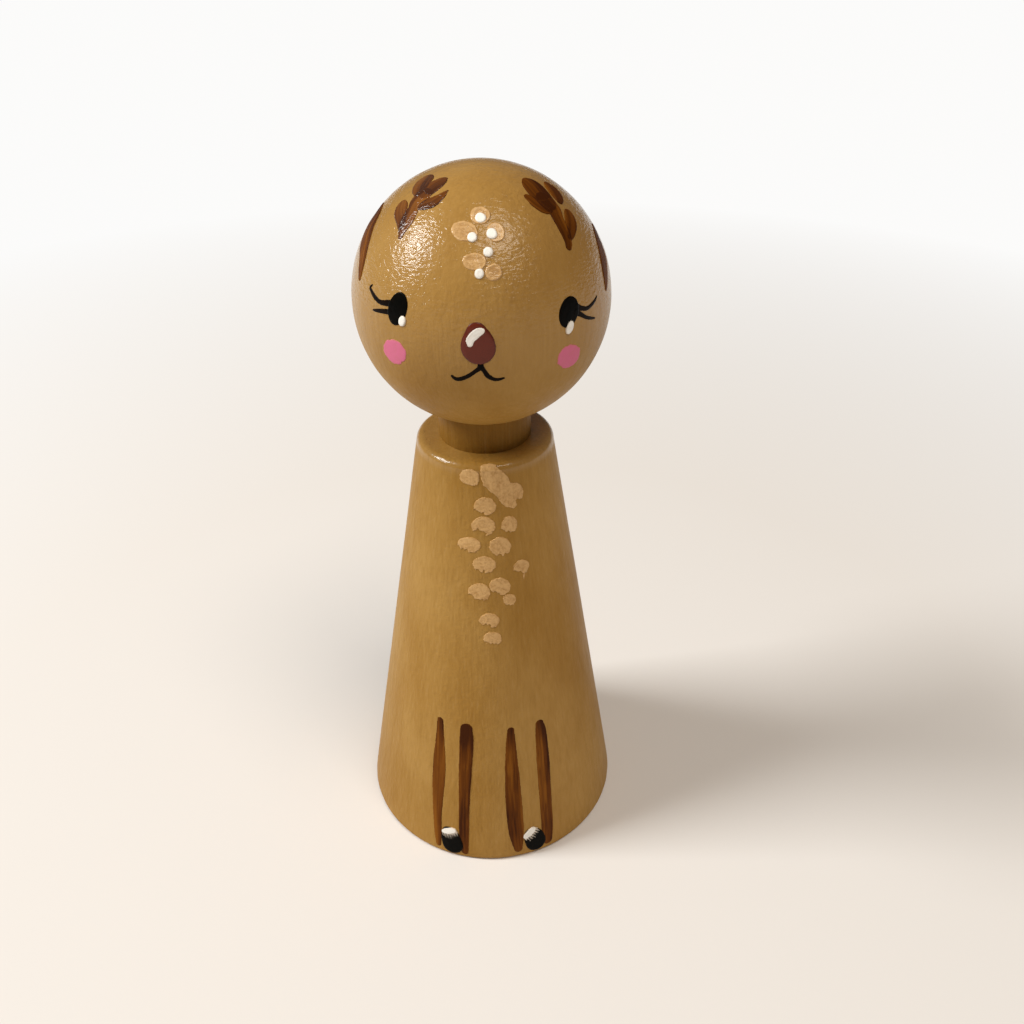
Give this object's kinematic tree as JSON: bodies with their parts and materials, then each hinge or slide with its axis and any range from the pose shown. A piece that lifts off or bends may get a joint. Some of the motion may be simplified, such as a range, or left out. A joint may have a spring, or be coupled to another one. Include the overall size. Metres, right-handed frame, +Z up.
{
  "type": "peg doll",
  "caption": "Wooden peg doll: a turned cone body, a dowel neck and a ball head, painted as a deer in raised strokes. Stands on its flat base.",
  "frame": {"origin": "centre of the flat base, on the surface the doll stands on", "axes": "+Z up along the turning axis, the face looks along -Y, +X to the viewer's right as seen from the front"},
  "size_m": [0.0358, 0.0358, 0.09],
  "materials": {
    "painted_wood": "brushed acrylic base coat, satin",
    "neck_wood": "thin base coat over bare dowel",
    "head_wood": "brushed acrylic base coat under gloss varnish",
    "brown_paint": "streaky acrylic, semi-gloss",
    "tan_paint": "dabbed acrylic, semi-gloss",
    "white_paint": "thick acrylic, gloss",
    "black_paint": "thick acrylic, gloss",
    "pink_paint": "thin dabbed acrylic, satin",
    "nose_paint": "thick acrylic, gloss"
  },
  "bodies": {
    "root": {"body": "painted_wood", "neck_peg": "neck_wood", "head": "head_wood", "antler_left": "brown_paint", "antler_right": "brown_paint", "ear_left": "brown_paint", "ear_right": "brown_paint", "forehead_dabs": "tan_paint", "forehead_dots": "white_paint", "eye_left": "black_paint", "eye_right": "black_paint", "eye_glint_left": "white_paint", "eye_glint_right": "white_paint", "cheek_left": "pink_paint", "cheek_right": "pink_paint", "nose": "nose_paint", "nose_glint": "white_paint", "mouth": "black_paint", "chest_dabs": "tan_paint", "leg_1": "brown_paint", "leg_2": "brown_paint", "leg_3": "brown_paint", "leg_4": "brown_paint", "hoof_left": "black_paint", "hoof_right": "black_paint", "hoof_glint_left": "white_paint", "hoof_glint_right": "white_paint"}
  },
  "joints": []
}
